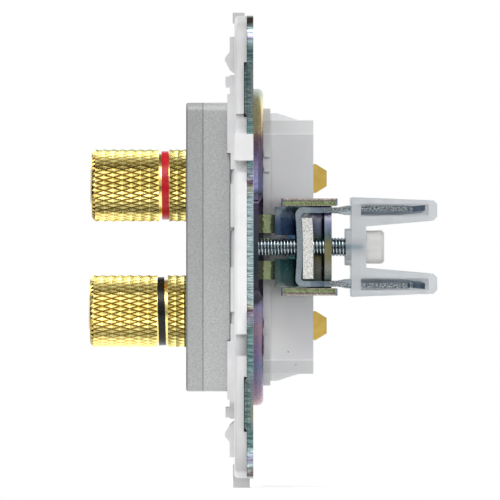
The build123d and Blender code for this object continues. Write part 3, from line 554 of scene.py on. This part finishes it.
def bracket_side_colour(tree):
    """The cut edges of a bracket's side walls: an olive core between a pink skin and a torn inner lip."""
    height = axis_distance(tree, "Z")
    bands = place_ramp(
        tree,
        height,
        6.3 * MM,
        7.6 * MM,
        (6.38 * MM, (0.62, 0.60, 0.46)),
        (6.50 * MM, (0.50, 0.48, 0.34)),
        (6.56 * MM, (0.16, 0.20, 0.10)),
        (6.75 * MM, (0.30, 0.38, 0.18)),
        (7.02 * MM, (0.34, 0.40, 0.24)),
        (7.10 * MM, (0.05, 0.05, 0.05)),
        (7.20 * MM, (0.42, 0.30, 0.34)),
        (7.42 * MM, (0.60, 0.54, 0.50)),
    )
    specks = noise(tree, 0.2 * MM, detail=4.0, rough=0.7, stretch=(1, 1, 1.5))
    grain = ramp(tree, specks, (0.40, (0.45, 0.48, 0.45)), (0.60, (1.5, 1.5, 1.4)))
    return tint(tree, bands, grain)


def bracket_web_colour(tree):
    """The rear wall of a bracket: a painted violet-white highlight above, olive round the screw, dark
    outlines.
    """
    height = shaken(tree, axis_place(tree, "Z"), noise(tree, 1.5 * MM), 0.4 * MM)
    return place_ramp(
        tree,
        height,
        -5.2 * MM,
        5.2 * MM,
        (-5.0 * MM, (0.12, 0.16, 0.14)),
        (-3.4 * MM, (0.34, 0.34, 0.30)),
        (-1.6 * MM, (0.28, 0.26, 0.14)),
        (0.6 * MM, (0.26, 0.25, 0.10)),
        (1.8 * MM, (0.12, 0.18, 0.20)),
        (3.4 * MM, (0.30, 0.34, 0.52)),
        (4.4 * MM, (0.72, 0.72, 0.86)),
        (5.0 * MM, (0.10, 0.10, 0.20)),
    )


def bracket_material():
    """Passivated zinc on the claw brackets, which colours each face of the folded sheet differently."""
    material, tree, shader = new_material("zinc_bracket")
    shader.inputs["Metallic"].default_value = 0.6
    along = axis_place(tree, "Y")
    past_foot = span(tree, along, 3.30 * MM, 3.42 * MM, 0, 1)
    past_saddle = span(tree, along, 8.0 * MM, 9.0 * MM, 0, 1)
    side_wall = span(tree, axis_distance(tree, "Z"), 6.30 * MM, 6.36 * MM, 0, 1)
    front = mix(tree, past_foot, bracket_foot_colour(tree), bracket_saddle_colour(tree))
    middle = mix(tree, past_saddle, front, bracket_web_colour(tree))
    side = mix(tree, cut_face(tree), film_colour(tree), bracket_side_colour(tree))
    colour_link(tree, mix(tree, side_wall, middle, side), shader)
    uneven_gloss(tree, shader, 0.5 * MM, 0.16, 0.30)
    bump(tree, shader, noise(tree, 0.35 * MM), 0.15, 0.03 * MM)
    return material


def screw_material():
    """Bright zinc on the claw screws, with a blue tint, painted shade in the roots of the thread and
    painted highlights near its crests.
    """
    material, tree, shader = new_material("zinc_screw")
    shader.inputs["Metallic"].default_value = 1.0
    low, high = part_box("claw_screw_right")
    offset = less(tree, axis_distance(tree, "X"), (low.x + high.x) / 2)
    # Painted shade in the thread's roots and painted highlights near its crests, by distance from the
    # screw's axis.
    groove_shade_and_crest_highlight = place_ramp(
        tree,
        radius_about(tree, offset, axis_place(tree, "Z")),
        1.1 * MM,
        1.7 * MM,
        (1.18 * MM, (0.18, 0.19, 0.20)),
        (1.25 * MM, (0.60, 0.63, 0.65)),
        (1.38 * MM, (1.40, 1.38, 1.36)),
        (1.60 * MM, (1.0, 1.0, 1.0)),
    )
    tone = ramp(tree, noise(tree, 1.6 * MM), (0.35, (0.40, 0.49, 0.53)), (0.65, (0.58, 0.64, 0.66)))
    colour_link(tree, tint(tree, tone, groove_shade_and_crest_highlight), shader)
    uneven_gloss(tree, shader, 0.6 * MM, 0.20, 0.30)
    return material


def claw_material():
    """Galvanised claw sheet: fine-grained at the fold, torn and sparkling along the arms' edges."""
    material, tree, shader = new_material("zinc_claw")
    shader.inputs["Metallic"].default_value = 0.85
    grain = noise(tree, 0.18 * MM, detail=3.0, rough=0.6)
    fold = ramp(
        tree,
        grain,
        (0.36, (0.28, 0.35, 0.39)),
        (0.50, (0.38, 0.46, 0.51)),
        (0.64, (0.50, 0.58, 0.63)),
    )
    sparkle = noise(tree, 0.20 * MM, detail=4.0, rough=0.75, stretch=(1, 1.6, 1))
    torn = ramp(
        tree,
        sparkle,
        (0.38, (0.07, 0.10, 0.13)),
        (0.50, (0.30, 0.36, 0.40)),
        (0.60, (0.95, 0.97, 0.97)),
    )
    flat = ramp(tree, noise(tree, 3 * MM), (0.35, (0.20, 0.27, 0.35)), (0.65, (0.38, 0.46, 0.54)))
    along = shaken(tree, axis_place(tree, "Y"), noise(tree, 1.0 * MM), 0.4 * MM)
    edge = mix(tree, span(tree, along, 11.4 * MM, 12.0 * MM, 0, 1), fold, torn)
    colour_link(tree, mix(tree, cut_face(tree), flat, edge), shader)
    tree.links.new(span(tree, sparkle, 0.35, 0.65, 0.42, 0.25), shader.inputs["Roughness"])
    bump(tree, shader, sparkle, 0.3, 0.04 * MM)
    return material


def nut_material():
    """The nut plate's sheared face: bright torn metal."""
    material, tree, shader = new_material("zinc_nut")
    shader.inputs["Metallic"].default_value = 0.35
    grit = noise(tree, 0.22 * MM, detail=4.0, rough=0.75)
    colour = ramp(
        tree,
        grit,
        (0.36, (0.34, 0.34, 0.32)),
        (0.46, (0.70, 0.70, 0.67)),
        (0.60, (0.90, 0.90, 0.87)),
    )
    colour_link(tree, colour, shader)
    tree.links.new(span(tree, grit, 0.35, 0.65, 0.6, 0.4), shader.inputs["Roughness"])
    bump(tree, shader, grit, 0.5, 0.05 * MM)
    return material


def plastic(name, dark, light, rough, grain):
    """Moulded plastic with a faint cloud in its colour and a fine grain."""
    material, tree, shader = new_material(name)
    colour_link(tree, ramp(tree, noise(tree, 4 * MM), (0.35, dark), (0.65, light)), shader)
    uneven_gloss(tree, shader, 0.6 * MM, rough - 0.05, rough + 0.05)
    bump(tree, shader, noise(tree, 0.2 * MM), grain, 0.02 * MM)
    return material


def relief_shade(tree):
    """Painted shade: the greyer slopes in the reliefs of the white frame's edge."""
    in_relief = place_ramp(
        tree,
        axis_place(tree, "Z"),
        -18 * MM,
        22 * MM,
        *greys(
            (-16.80 * MM, 0),
            (-16.70 * MM, 1),
            (-13.50 * MM, 1),
            (-13.40 * MM, 0),
            (11.40 * MM, 0),
            (11.50 * MM, 0.4),
            (13.10 * MM, 0.4),
            (13.20 * MM, 0),
            (17.45 * MM, 0),
            (17.55 * MM, 0.4),
            (20.45 * MM, 0.4),
            (20.55 * MM, 0),
        ),
    )
    slope = place_ramp(
        tree,
        axis_place(tree, "Y"),
        -3 * MM,
        0,
        *greys((-2.6 * MM, 0.90), (-1.1 * MM, 0.42)),
    )
    return mix(tree, in_relief, untinted(tree), slope)


def white_side_shade(tree):
    """Painted shade on the white frame's cut side: it turns greyer towards both ends and in the reliefs
    of its edge, with painted light a little brighter near the middle.
    """
    height = axis_place(tree, "Z")
    edge = place_ramp(
        tree,
        height,
        -36 * MM,
        36 * MM,
        *greys(
            (-35.5 * MM, 0.55),
            (-33.0 * MM, 0.64),
            (-27.0 * MM, 0.70),
            (-17.0 * MM, 0.84),
            (-12.0 * MM, 1.00),
            (0.0, 1.05),
            (10.0 * MM, 1.08),
            (25.0 * MM, 0.96),
            (30.0 * MM, 0.84),
            (33.5 * MM, 0.70),
            (35.0 * MM, 0.60),
        ),
    )
    inner = place_ramp(
        tree,
        height,
        -38 * MM,
        38 * MM,
        *greys(
            (-36.0 * MM, 0.86),
            (-33.0 * MM, 0.78),
            (-26.0 * MM, 0.84),
            (-18.0 * MM, 0.96),
            (20.0 * MM, 1.02),
            (26.0 * MM, 0.90),
            (33.0 * MM, 0.88),
            (36.0 * MM, 0.66),
        ),
    )
    at_edge = span(tree, axis_distance(tree, "X"), 33.0 * MM, 33.6 * MM, 0, 1)
    return mix(tree, at_edge, inner, tint(tree, edge, relief_shade(tree)))


def white_material():
    """White plastic, with painted shade that makes its cut side a little greyer in places."""
    material, tree, shader = new_material("white_plastic")
    cloud = ramp(tree, noise(tree, 4 * MM), (0.35, (0.80, 0.80, 0.81)), (0.65, (0.85, 0.85, 0.86)))
    shade = mix(tree, faces_along(tree, "Y"), white_side_shade(tree), untinted(tree))
    colour_link(tree, tint(tree, cloud, shade), shader)
    uneven_gloss(tree, shader, 0.6 * MM, 0.37, 0.47)
    bump(tree, shader, noise(tree, 0.2 * MM), 0.10, 0.02 * MM)
    return material


def grey_material():
    """Warm grey plastic of the rear housing, with a few dark specks, painted highlights along its edges,
    painted light that varies with height, and a painted shadow next to the dish.
    """
    material, tree, shader = new_material("grey_plastic")
    cloud = ramp(tree, noise(tree, 5 * MM), (0.35, (0.67, 0.67, 0.675)), (0.65, (0.70, 0.70, 0.70)))
    speck = add(tree, "ShaderNodeTexVoronoi")
    speck.inputs["Scale"].default_value = 1 / (3.4 * MM)
    tree.links.new(object_place(tree), speck.inputs["Vector"])
    dirt = ramp(tree, speck.outputs["Distance"], (0.02, (0.25, 0.25, 0.25)), (0.045, (1, 1, 1)))
    # Painted highlights: bright lines along the housing's edges near 17.5 mm and past 19.5 mm from the
    # middle.
    edges = place_ramp(
        tree,
        axis_distance(tree, "Z"),
        17.0 * MM,
        20.0 * MM,
        *greys(
            (17.38 * MM, 1),
            (17.44 * MM, 1.22),
            (17.54 * MM, 1.22),
            (17.60 * MM, 1),
            (19.50 * MM, 1),
            (19.58 * MM, 1.2),
        ),
    )
    # Painted light: the housing is lighter low down and a little darker above the middle.
    painted_light_by_height = place_ramp(
        tree,
        axis_place(tree, "Z"),
        -20 * MM,
        20 * MM,
        (-17 * MM, (1.14, 1.14, 1.13)),
        (-3 * MM, (1.08, 1.08, 1.08)),
        (6 * MM, (0.97, 0.96, 0.98)),
        (18 * MM, (1.02, 1.02, 1.03)),
    )
    # Painted shadow on the housing next to the dish, nearest the plate.
    base = place_ramp(
        tree,
        axis_place(tree, "Y"),
        1.0 * MM,
        4.0 * MM,
        *greys((1.2 * MM, 0.70), (2.5 * MM, 0.80), (3.0 * MM, 1)),
    )
    surface = tint(tree, tint(tree, cloud, dirt), edges)
    colour_link(tree, tint(tree, surface, tint(tree, painted_light_by_height, base)), shader)
    uneven_gloss(tree, shader, 0.6 * MM, 0.36, 0.46)
    bump(tree, shader, noise(tree, 0.2 * MM), 0.1, 0.02 * MM)
    return material


def black_plastic_material():
    """Black plastic of the bushings and washers."""
    return plastic("black_plastic", (0.012, 0.012, 0.012), (0.022, 0.022, 0.022), 0.35, 0.2)


def paint_material():
    """Aluminium paint: a fine speckle on matt plastic, with a dark line in the seam, painted shade along
    the front edge and where the cover meets the white rim, and painted light on the base's side.
    """
    material, tree, shader = new_material("aluminium_paint")
    shader.inputs["Metallic"].default_value = 0.15
    flake = noise(tree, 0.15 * MM, detail=4.0, rough=0.7)
    speckle = ramp(
        tree,
        flake,
        (0.36, (0.335, 0.345, 0.345)),
        (0.50, (0.43, 0.44, 0.44)),
        (0.64, (0.53, 0.54, 0.54)),
    )
    # On the side faces, along y: painted shade on the front edge's round, a dark line in the seam between
    # plate and base, painted light on the base's side, and a painted shadow at its rear, where it meets
    # the white rim.
    seam_and_painted_shade = place_ramp(
        tree,
        axis_place(tree, "Y"),
        -10.5 * MM,
        -3.4 * MM,
        *greys(
            (-10.40 * MM, 0.30),
            (-10.22 * MM, 0.40),
            (-10.10 * MM, 1),
            (-7.86 * MM, 1),
            (-7.79 * MM, 0.25),
            (-7.75 * MM, 0.25),
            (-7.68 * MM, 1.15),
            (-3.74 * MM, 1.15),
            (-3.60 * MM, 0.40),
        ),
    )
    shade = mix(tree, faces_along(tree, "Y"), seam_and_painted_shade, untinted(tree))
    colour_link(tree, tint(tree, speckle, shade), shader)
    tree.links.new(span(tree, flake, 0.35, 0.65, 0.55, 0.42), shader.inputs["Roughness"])
    bump(tree, shader, flake, 0.2, 0.03 * MM)
    return material


def ring_material(name, dark, light):
    """Glossy coloured plastic of the marking rings."""
    material, tree, shader = new_material(name)
    colour_link(tree, ramp(tree, noise(tree, 1.5 * MM), (0.35, dark), (0.65, light)), shader)
    shader.inputs["Specular IOR Level"].default_value = 0.3
    uneven_gloss(tree, shader, 0.4 * MM, 0.24, 0.34)
    bump(tree, shader, noise(tree, 0.5 * MM), 0.15, 0.02 * MM)
    return material


def frosted_material():
    """Frosted plastic of the guards: creamier at the thick hub, with painted shade, bluer, where the
    screw behind it shows through.
    """
    material, tree, shader = new_material("clear_plastic")
    cloud = noise(tree, 2.5 * MM)
    cool = ramp(tree, cloud, (0.35, (0.74, 0.765, 0.785)), (0.65, (0.81, 0.83, 0.85)))
    cream = ramp(tree, cloud, (0.35, (0.92, 0.91, 0.88)), (0.65, (0.97, 0.96, 0.94)))
    past_plate = span(tree, axis_place(tree, "Y"), 17.2 * MM, 17.6 * MM, 0, 1)
    near_axis = span(tree, axis_distance(tree, "Z"), 2.6 * MM, 2.9 * MM, 1, 0)
    plain = mix(tree, product(tree, past_plate, near_axis), cool, cream)
    # Painted shade: the screw behind the wall, painted as a bluer, darker band along the guard's axis.
    screw_painted_shade = product(
        tree,
        span(tree, axis_distance(tree, "Z"), 0.1 * MM, 0.9 * MM, 1, 0),
        span(tree, axis_place(tree, "Y"), 16.6 * MM, 17.8 * MM, 1, 0),
    )
    shade = ramp(
        tree,
        screw_painted_shade,
        (0.0, (1, 1, 1)),
        (0.5, (0.86, 0.90, 0.93)),
        (1.0, (0.60, 0.70, 0.76)),
    )
    colour_link(tree, tint(tree, plain, shade), shader)
    shader.inputs["Transmission Weight"].default_value = 0.6
    shader.inputs["IOR"].default_value = 1.35
    tree.links.new(span(tree, cloud, NOISE_LOW, NOISE_HIGH, 0.34, 0.44), shader.inputs["Roughness"])
    bump(tree, shader, noise(tree, 0.4 * MM), 0.15, 0.02 * MM)
    return material


# Pieces
def new_piece(name, mesh):
    """An object from a bmesh, smooth apart from its sharp edges."""
    data = bpy.data.meshes.new(name)
    mesh.normal_update()
    mesh.to_mesh(data)
    mesh.free()
    data.shade_smooth()
    data.set_sharp_from_angle(angle=SHARP_ANGLE)
    piece = bpy.data.objects.new(name, data)
    bpy.context.scene.collection.objects.link(piece)
    return piece


def finished_piece(name, mesh, node, body):
    """An object from a bmesh that stands for a CAD node and rides on its body."""
    piece = new_piece(name, mesh)
    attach(piece, body)
    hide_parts(node.name)
    return piece


def thread_profile():
    """The M3 thread over one pitch: (place in pitches, radius) at the corners of its crest and root."""
    fall = (1 - THREAD_CREST_SHARE - THREAD_ROOT_SHARE) / 2
    return (
        (0.0, THREAD_CREST),
        (THREAD_CREST_SHARE, THREAD_CREST),
        (THREAD_CREST_SHARE + fall, THREAD_ROOT),
        (1 - fall, THREAD_ROOT),
    )


def threaded_shank(mesh, x, front, rear):
    """Adds a threaded rod about the line x, z = 0, from front to rear. Its rows follow the helix."""
    profile = thread_profile()
    pitches = floor((rear - front) / THREAD_PITCH) + 2
    rows = [(turn_count + place, radius) for turn_count in range(pitches) for place, radius in profile]
    columns = []
    for step in range(THREAD_STEPS):
        turn = step / THREAD_STEPS
        column = []
        for place, radius in rows:
            y = min(rear, max(front, front + (place - turn) * THREAD_PITCH))
            limit = THREAD_ROOT + (rear - y) / THREAD_TIP_CHAMFER * (THREAD_CREST - THREAD_ROOT)
            radius = min(radius, limit)
            column.append(mesh.verts.new((x + radius * cos(tau * turn), y, radius * sin(tau * turn))))
        columns.append(column)
    last = len(rows) - 1
    for step in range(THREAD_STEPS - 1):
        near, far = columns[step], columns[step + 1]
        for row in range(last):
            mesh.faces.new((near[row], far[row], far[row + 1], near[row + 1]))
    near, far = columns[-1], columns[0]
    shift = len(profile)
    for row in range(shift, last):
        mesh.faces.new((near[row], far[row - shift], far[row + 1 - shift], near[row + 1]))
    mesh.faces.new([column[last] for column in columns])


def head_end(mesh, x):
    """Where the neck of a screw begins: just behind the last place that is as wide as a head."""
    wide = [v.co.y for v in mesh.verts if (v.co.x - x) ** 2 + v.co.z**2 > HEAD_MIN_RADIUS**2]
    return max(wide) + NECK_GAP


def threaded_screw(side):
    """The claw screw: the head of the CAD screw on a rod with a real thread."""
    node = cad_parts[f"claw_screw_{side}"]
    low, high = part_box(node.name)
    x = (low.x + high.x) / 2
    mesh = bmesh.new()
    mesh.from_mesh(node.data)
    neck = head_end(mesh, x)
    shank = [face for face in mesh.faces if face.calc_center_median().y > neck]
    bmesh.ops.delete(mesh, geom=shank, context="FACES")
    threaded_shank(mesh, x, neck, high.y)
    bmesh.ops.remove_doubles(mesh, verts=mesh.verts, dist=MERGE_DISTANCE)
    return finished_piece(f"threaded_screw_{side}", mesh, node, f"{side}_screw")


def knurled_rim(colour):
    """The last half row of a knob's knurl, which runs out over the chamfered rim."""
    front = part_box(f"knob_{colour}")[0].y
    height = KNOB_HEIGHT[colour]
    rim_rear = front + RIM_LENGTH
    step = tau / KNURL_STARTS
    mesh = bmesh.new()

    def corner(turn, radius, y):
        """A new vertex, its turn about the knob's axis counted in starts."""
        return mesh.verts.new((radius * cos(step * turn), y, height + radius * sin(step * turn)))

    for start in range(KNURL_STARTS):
        left = corner(start - 0.5, KNURL_VALLEY, rim_rear)
        right = corner(start + 0.5, KNURL_VALLEY, rim_rear)
        peak = corner(start, KNURL_PEAK, rim_rear)
        tip = corner(start, RIM_END_RADIUS, rim_rear - RIM_TOOTH_LENGTH)
        mesh.faces.new((left, peak, tip))
        mesh.faces.new((peak, right, tip))
        mesh.faces.new((left, right, peak))
        mesh.faces.new((left, tip, right))
    bmesh.ops.recalc_face_normals(mesh, faces=mesh.faces)
    piece = new_piece(f"knurled_rim_{colour}", mesh)
    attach(piece, f"{colour}_knob")
    return piece


def leaning_ring(colour, body, angle):
    """A marking ring that hangs a little crooked in its groove, as loose rings do."""
    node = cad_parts[f"ring_{colour}"]
    low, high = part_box(node.name)
    mesh = bmesh.new()
    mesh.from_mesh(node.data)
    bmesh.ops.rotate(mesh, verts=mesh.verts, cent=(low + high) / 2, matrix=Matrix.Rotation(angle, 3, "X"))
    return finished_piece(f"leaning_ring_{colour}", mesh, node, body)


def bowed_nut_plate(side):
    """The nut plate of a claw, which the pull of the screw has bowed: its upper end leans to the room."""
    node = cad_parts[f"nut_plate_{side}"]
    low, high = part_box(node.name)
    mesh = bmesh.new()
    mesh.from_mesh(node.data)
    for step in range(1, NUT_BOW_STEPS):
        whole = mesh.verts[:] + mesh.edges[:] + mesh.faces[:]
        level = (0, 0, high.z * step / NUT_BOW_STEPS)
        bmesh.ops.bisect_plane(mesh, geom=whole, plane_co=level, plane_no=(0, 0, 1))
    for vertex in mesh.verts:
        share = max(0.0, vertex.co.z / high.z) ** 2
        vertex.co.y -= NUT_BOW * share
        vertex.co.z -= NUT_DROP
    return finished_piece(f"bowed_nut_plate_{side}", mesh, node, f"{side}_nut_plate")


def window_steps():
    """Stepped bottoms of the windows in the white rim: deep towards the room, and shallow behind."""
    mesh = bmesh.new()
    for side in (1, -1):
        for height, width in RIM_WINDOWS:
            ends = []
            for z in (height - width / 2 + WINDOW_GAP, height + width / 2 - WINDOW_GAP):
                ends.append([mesh.verts.new((side * x, y, z)) for x, y in WINDOW_STEP])
            count = len(WINDOW_STEP)
            for corner in range(count):
                after = (corner + 1) % count
                mesh.faces.new((ends[0][corner], ends[0][after], ends[1][after], ends[1][corner]))
            mesh.faces.new(ends[0])
            mesh.faces.new(ends[1])
    bmesh.ops.recalc_face_normals(mesh, faces=mesh.faces)
    piece = new_piece("rim_window_steps", mesh)
    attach(piece, "chassis")
    return piece


def paint(piece, material):
    """Gives a piece one material."""
    if not piece.material_slots:
        piece.data.materials.append(material)
    for slot in piece.material_slots:
        slot.material = material


def frame_finish():
    """Materials of the plate, the frames and the housing, by node."""
    coat = paint_material()
    return {
        "steel_frame": steel_material(),
        "white_frame": white_material(),
        "front_plate": coat,
        "cover_base": coat,
        "rear_housing": grey_material(),
    }


def post_finish():
    """Materials of the binding posts, by node."""
    gold = gold_material()
    tab = flat_gold_material()
    black = black_plastic_material()
    cream = plastic("insert_plastic", (0.78, 0.77, 0.73), (0.88, 0.87, 0.83), 0.40, 0.10)
    rings = {
        "red": ring_material("red_plastic", (0.56, 0.010, 0.020), (0.70, 0.016, 0.030)),
        "black": ring_material("black_gloss", (0.003, 0.003, 0.003), (0.006, 0.006, 0.006)),
    }
    finish = {}
    for colour in ("red", "black"):
        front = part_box(f"knob_{colour}")[0].y
        finish[f"knob_{colour}"] = knob_material(f"gold_knob_{colour}", KNOB_HEIGHT[colour], front)
        finish[f"post_stud_{colour}"] = gold
        finish[f"nut_{colour}"] = gold
        finish[f"solder_tab_{colour}"] = tab
        finish[f"bushing_{colour}"] = black
        finish[f"washer_{colour}"] = black
        finish[f"ring_{colour}"] = rings[colour]
        finish[f"insert_{colour}"] = cream
    return finish


def claw_finish():
    """Materials of the claw mechanisms, by node."""
    bracket = bracket_material()
    screw = screw_material()
    nut = nut_material()
    claw = claw_material()
    frosted = frosted_material()
    finish = {}
    for side in ("right", "left"):
        finish[f"claw_bracket_{side}"] = bracket
        finish[f"claw_screw_{side}"] = screw
        finish[f"nut_plate_{side}"] = nut
        finish[f"claw_{side}"] = claw
        finish[f"claw_guard_{side}"] = frosted
    return finish


def dress_nodes():
    """Gives each CAD node its material, and returns the materials by node."""
    finish = {**frame_finish(), **post_finish(), **claw_finish()}
    for name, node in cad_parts.items():
        paint(node, finish[name])
    return finish


def add_detail(finish):
    """Adds the pieces that the CAD nodes are too plain for, each with its node's material and slot."""
    for side in ("right", "left"):
        screw = threaded_screw(side)
        paint(screw, finish[f"claw_screw_{side}"])
        nut_plate = bowed_nut_plate(side)
        paint(nut_plate, finish[f"nut_plate_{side}"])
    for colour in ("red", "black"):
        ring = leaning_ring(colour, f"{colour}_ring", RING_LEAN[colour])
        paint(ring, finish[f"ring_{colour}"])
        rim = knurled_rim(colour)
        paint(rim, finish[f"knob_{colour}"])
    steps = window_steps()
    paint(steps, finish["white_frame"])


# Stage
def make_floor():
    """A pale floor under the outlet. The camera sees it as white apart from the object's shadow."""
    material, tree, shader = new_material("floor")
    shader.inputs["Base Color"].default_value = FLOOR_COLOUR
    shader.inputs["Roughness"].default_value = FLOOR_ROUGHNESS
    path = add(tree, "ShaderNodeLightPath")
    seen = add(tree, "ShaderNodeMath", operation="MAXIMUM")
    tree.links.new(path.outputs["Is Camera Ray"], seen.inputs[0])
    tree.links.new(path.outputs["Is Glossy Ray"], seen.inputs[1])
    glow = span(tree, seen.outputs["Value"], 0, 1, 0, FLOOR_GLOW)
    shader.inputs["Emission Color"].default_value = (1, 1, 1, 1)
    tree.links.new(glow, shader.inputs["Emission Strength"])
    mesh = bmesh.new()
    bmesh.ops.create_circle(mesh, cap_ends=True, segments=FLOOR_SEGMENTS, radius=FLOOR_RADIUS)
    data = bpy.data.meshes.new("floor")
    mesh.to_mesh(data)
    mesh.free()
    ground = bpy.data.objects.new("floor", data)
    ground.location.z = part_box("white_frame")[0].z - FLOOR_GAP
    bpy.context.scene.collection.objects.link(ground)
    paint(ground, material)


def studio_light(tree):
    """The studio's light: zones by height on the camera's side and behind, and little from the room."""
    place = add(tree, "ShaderNodeTexCoord")
    parts = add(tree, "ShaderNodeSeparateXYZ")
    tree.links.new(place.outputs["Generated"], parts.inputs["Vector"])
    height = span(tree, parts.outputs["Z"], -1, 1, 0, 1)
    room = ramp(
        tree,
        height,
        *greys(
            (0.0, 0.60),
            (0.17, 0.60),
            (0.20, 0.02),
            (0.455, 0.02),
            (0.48, 0.62),
            (0.68, 0.70),
            (0.74, 0.95),
            (0.94, 0.95),
            (1.0, 0.15),
        ),
    )
    backdrop = ramp(
        tree,
        height,
        *greys((0.0, 0.45), (0.25, 0.90), (0.40, 1), (0.72, 1), (0.82, 0.14), (1.0, 0.12)),
    )
    front = span(tree, parts.outputs["X"], -0.25, 0.05, 0, 1)
    open_side = span(tree, parts.outputs["Y"], -0.50, -0.38, 0, 1)
    unlit = ramp(tree, open_side, *greys((0.0, UNLIT_LEVEL), (1.0, 1)))
    return tint(tree, mix(tree, front, backdrop, room), unlit)


def make_world():
    """White for the camera and through clear plastic, and the studio's light for everything else."""
    world = bpy.data.worlds.new("studio")
    world.use_nodes = True
    bpy.context.scene.world = world
    tree = world.node_tree
    tree.nodes.clear()
    path = add(tree, "ShaderNodeLightPath")
    white = add(tree, "ShaderNodeBackground")
    white.inputs["Color"].default_value = (1, 1, 1, 1)
    white.inputs["Strength"].default_value = 1.0
    studio = add(tree, "ShaderNodeBackground")
    studio.inputs["Strength"].default_value = STUDIO_STRENGTH
    tree.links.new(studio_light(tree), studio.inputs["Color"])
    either = add(tree, "ShaderNodeMath", operation="MAXIMUM")
    tree.links.new(path.outputs["Is Camera Ray"], either.inputs[0])
    tree.links.new(path.outputs["Is Transmission Ray"], either.inputs[1])
    chosen = add(tree, "ShaderNodeMixShader")
    tree.links.new(either.outputs["Value"], chosen.inputs["Fac"])
    tree.links.new(studio.outputs["Background"], chosen.inputs[1])
    tree.links.new(white.outputs["Background"], chosen.inputs[2])
    output = add(tree, "ShaderNodeOutputWorld")
    tree.links.new(chosen.outputs["Shader"], output.inputs["Surface"])


def make_lamps():
    """Soft square lamps that point at the origin."""
    for name, place, size, power in LAMPS:
        data = bpy.data.lights.new(name, "AREA")
        data.shape = "SQUARE"
        data.size = size
        data.energy = power
        lamp = bpy.data.objects.new(name, data)
        lamp.location = place
        lamp.rotation_euler = (-Vector(place)).to_track_quat("-Z", "Y").to_euler()
        bpy.context.scene.collection.objects.link(lamp)


def make_camera():
    """Looks square at the side of the outlet, along -x, with the room on the left."""
    data = bpy.data.cameras.new("camera")
    data.sensor_width = SENSOR
    data.lens = SENSOR * CAMERA_DISTANCE / VIEW_WIDTH
    data.clip_start = CLIP_START
    data.clip_end = CLIP_END
    camera = bpy.data.objects.new("camera", data)
    x, y, z = CAMERA_TARGET
    camera.location = (x + CAMERA_DISTANCE, y, z)
    camera.rotation_euler = (radians(90), 0, radians(90))
    bpy.context.scene.collection.objects.link(camera)
    bpy.context.scene.camera = camera


add_detail(dress_nodes())
make_floor()
make_world()
make_lamps()
make_camera()
bpy.context.scene.view_settings.view_transform = "Standard"
